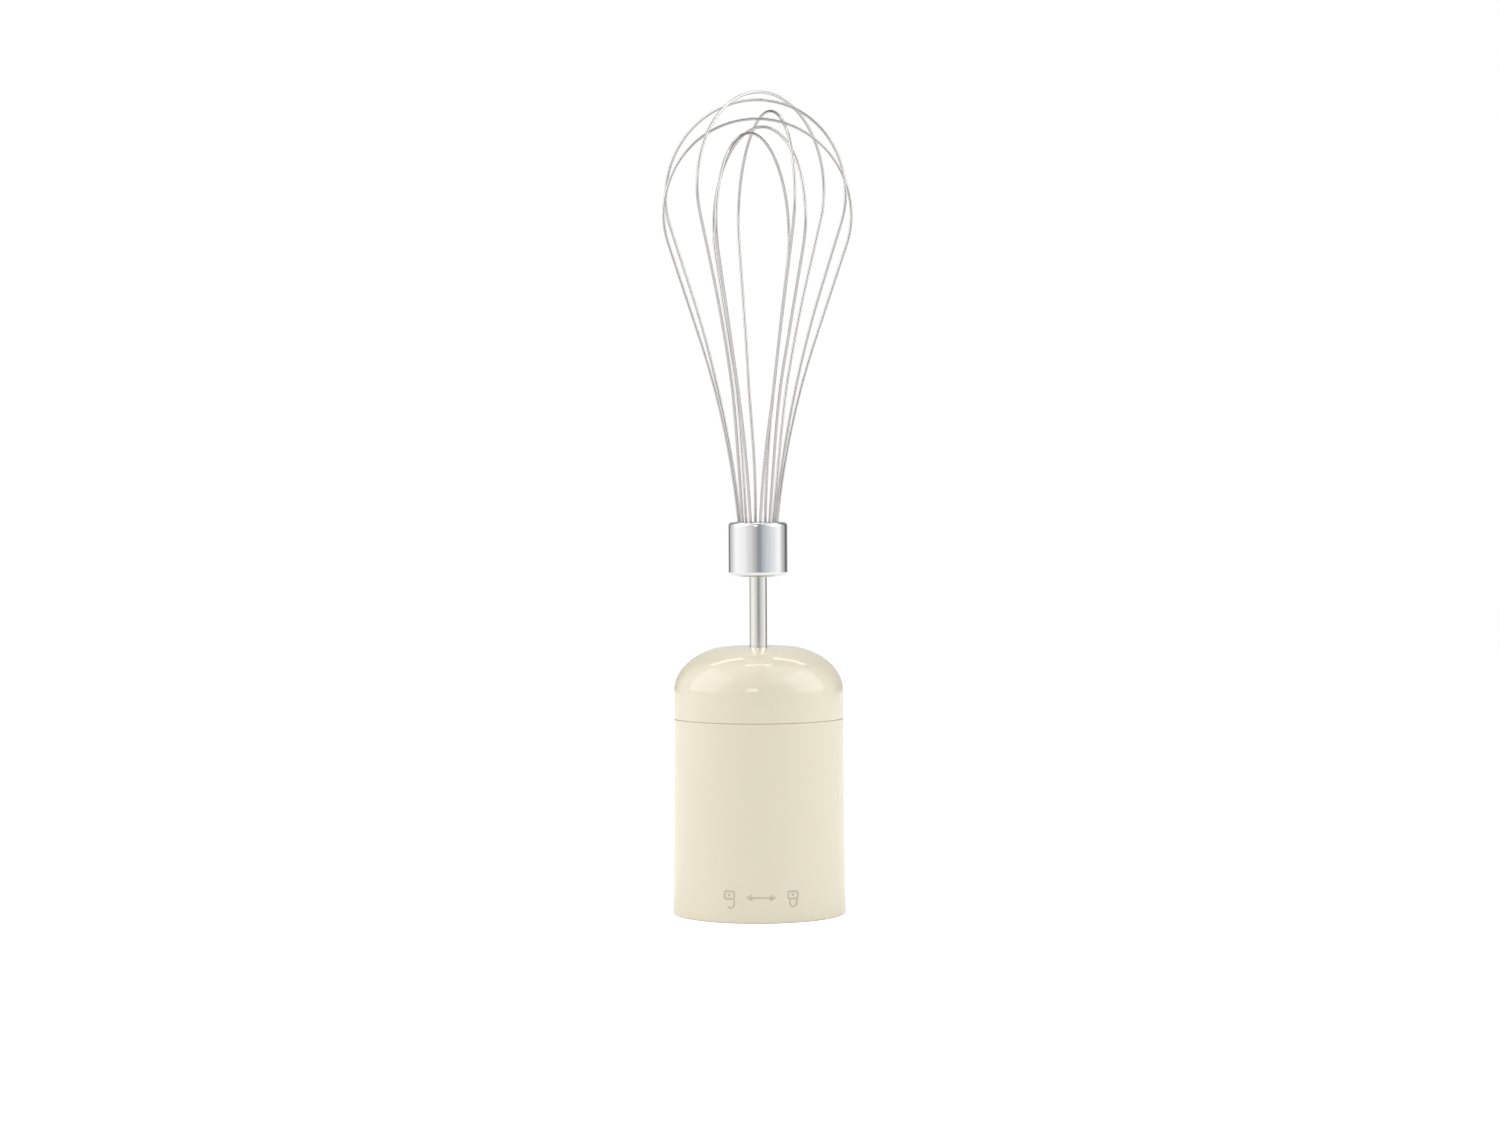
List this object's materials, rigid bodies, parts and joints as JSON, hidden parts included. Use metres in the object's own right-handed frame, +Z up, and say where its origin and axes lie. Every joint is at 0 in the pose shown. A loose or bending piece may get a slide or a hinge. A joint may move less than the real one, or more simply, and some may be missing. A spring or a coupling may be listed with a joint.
{
  "type": "immersion blender whisk attachment",
  "caption": "Whisk attachment for a stick blender: domed cream housing with reduction gearbox, steel shaft, ferrule and a balloon whisk of wire loops; pulls out of the housing.",
  "frame": {"origin": "centre of the coupling rim's plane, on the whisk's axis", "axes": "+Z up along the whisk's axis to its tip, -Y out of the face that carries the lock marks, +X to the right of that face"},
  "size_m": [0.0655, 0.0636, 0.284],
  "materials": {
    "housing_plastic": "glossy moulded cream",
    "ring_plastic": "matt moulded grey",
    "case_plastic": "matt moulded off-white",
    "gear_plastic": "matt moulded white acetal",
    "steel": "machined",
    "spring_steel": "oiled dark",
    "shaft_steel": "ground bright",
    "chrome_plate": "polished plate",
    "wire_steel": "drawn and polished",
    "holder_plastic": "matt moulded dark grey",
    "bronze": "sintered and oiled",
    "seal_rubber": "moulded black",
    "mark_ink": "pad-printed warm grey"
  },
  "bodies": {
    "housing": {"sleeve": "housing_plastic", "dome": "housing_plastic", "housing_gasket": "seal_rubber", "bayonet_ring": "ring_plastic", "gear_case": "case_plastic", "gear_case_cover": "case_plastic", "case_screws": "steel", "cover_screws": "steel", "input_bush": "bronze", "output_bush": "bronze", "shaft_seal": "seal_rubber", "floor_washer": "gear_plastic"},
    "input": {"drive_coupling": "ring_plastic", "input_shaft": "steel", "input_clip": "spring_steel", "sun_gear_1": "steel"},
    "planet_1a": {"planet_1a": "gear_plastic"},
    "planet_1b": {"planet_1b": "gear_plastic"},
    "planet_1c": {"planet_1c": "gear_plastic"},
    "carrier_1": {"carrier_1": "steel", "carrier_1_pins": "steel", "sun_gear_2": "steel", "middle_washer": "gear_plastic"},
    "planet_2a": {"planet_2a": "gear_plastic"},
    "planet_2b": {"planet_2b": "gear_plastic"},
    "planet_2c": {"planet_2c": "gear_plastic"},
    "output": {"carrier_2": "steel", "carrier_2_pins": "steel", "output_socket": "steel", "snap_ring": "spring_steel", "output_circlip": "spring_steel", "top_washer": "gear_plastic"},
    "whisk": {"whisk_shaft": "shaft_steel", "ferrule": "chrome_plate", "wire_holder": "holder_plastic", "wire_loop_1": "wire_steel", "wire_loop_2": "wire_steel", "wire_loop_3": "wire_steel", "wire_loop_4": "wire_steel", "wire_loop_5": "wire_steel", "wire_loop_6": "wire_steel"}
  },
  "joints": [
    {"name": "output_spin", "type": "hinge", "parent": "housing", "child": "output", "pos_m": [0, 0, 0.0518], "axis": [0, 0, 1], "continuous": true},
    {"name": "carrier_1_spin", "type": "hinge", "parent": "housing", "child": "carrier_1", "pos_m": [0, 0, 0.041], "axis": [0, 0, 1], "continuous": true},
    {"name": "input_spin", "type": "hinge", "parent": "housing", "child": "input", "pos_m": [0, 0, 0.024], "axis": [0, 0, 1], "continuous": true},
    {"name": "planet_1a_spin", "type": "hinge", "parent": "carrier_1", "child": "planet_1a", "pos_m": [0.0108, 0, 0.0367], "axis": [0, 0, 1], "continuous": true},
    {"name": "planet_1b_spin", "type": "hinge", "parent": "carrier_1", "child": "planet_1b", "pos_m": [-0.0054, 0.00935, 0.0367], "axis": [0, 0, 1], "continuous": true},
    {"name": "planet_1c_spin", "type": "hinge", "parent": "carrier_1", "child": "planet_1c", "pos_m": [-0.0054, -0.00935, 0.0367], "axis": [0, 0, 1], "continuous": true},
    {"name": "planet_2a_spin", "type": "hinge", "parent": "output", "child": "planet_2a", "pos_m": [0.0108, 0, 0.0466], "axis": [0, 0, 1], "continuous": true},
    {"name": "planet_2b_spin", "type": "hinge", "parent": "output", "child": "planet_2b", "pos_m": [-0.0054, 0.00935, 0.0466], "axis": [0, 0, 1], "continuous": true},
    {"name": "planet_2c_spin", "type": "hinge", "parent": "output", "child": "planet_2c", "pos_m": [-0.0054, -0.00935, 0.0466], "axis": [0, 0, 1], "continuous": true},
    {"name": "whisk_pull", "type": "slide", "parent": "output", "child": "whisk", "axis": [0, 0, 1], "range_m": [0, 0.034], "deforming": ["snap_ring"]}
  ],
  "couplings": [
    {"joint": "carrier_1_spin", "follows": "output_spin", "ratio": 3.6},
    {"joint": "input_spin", "follows": "output_spin", "ratio": 12.96},
    {"joint": "planet_1a_spin", "follows": "output_spin", "ratio": -11.7},
    {"joint": "planet_1b_spin", "follows": "output_spin", "ratio": -11.7},
    {"joint": "planet_1c_spin", "follows": "output_spin", "ratio": -11.7},
    {"joint": "planet_2a_spin", "follows": "output_spin", "ratio": -3.25},
    {"joint": "planet_2b_spin", "follows": "output_spin", "ratio": -3.25},
    {"joint": "planet_2c_spin", "follows": "output_spin", "ratio": -3.25}
  ]
}
